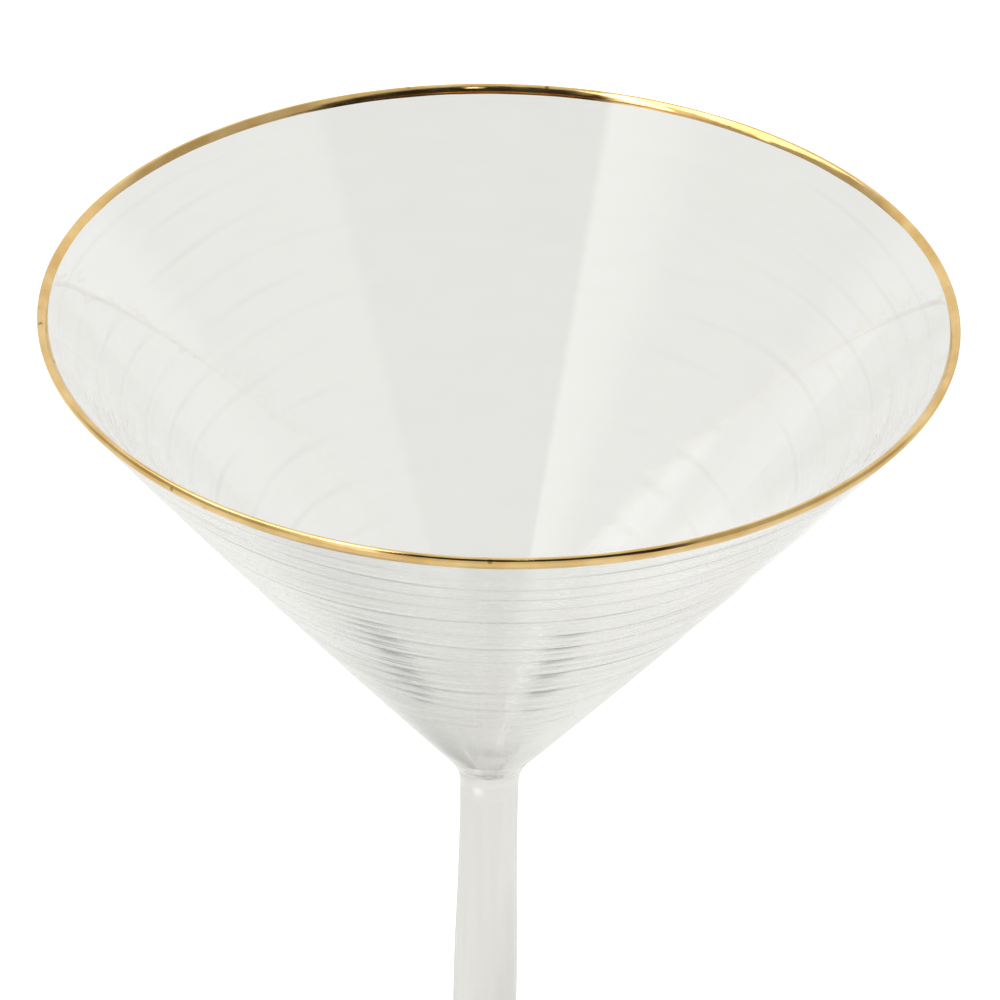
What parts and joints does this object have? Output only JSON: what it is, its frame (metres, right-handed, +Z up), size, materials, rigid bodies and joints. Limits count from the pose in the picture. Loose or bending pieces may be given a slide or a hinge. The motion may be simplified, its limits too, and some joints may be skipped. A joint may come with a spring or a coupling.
{
  "type": "martini glass",
  "caption": "Stemmed cocktail glass with a wide conical rippled bowl, a gold band over the lip, a slim solid stem and a round foot.",
  "frame": {"origin": "centre of the foot's resting ring, on the surface that the glass stands on", "axes": "+Z up along the stem to the open mouth of the bowl; the glass is turned about Z, so X and Y are alike"},
  "size_m": [0.116, 0.116, 0.18],
  "materials": {
    "bowl_glass": "clear, polished inside, fine hand-worked ripples running round the outside",
    "gold_lustre": "fired gold band, bright, with a slightly brushed and uneven edge",
    "stem_glass": "clear, fire-polished, faint draw lines along its length",
    "foot_glass": "clear, fire-polished"
  },
  "bodies": {
    "root": {"bowl": "bowl_glass", "gold_rim": "gold_lustre", "stem": "stem_glass", "foot": "foot_glass"}
  },
  "joints": []
}
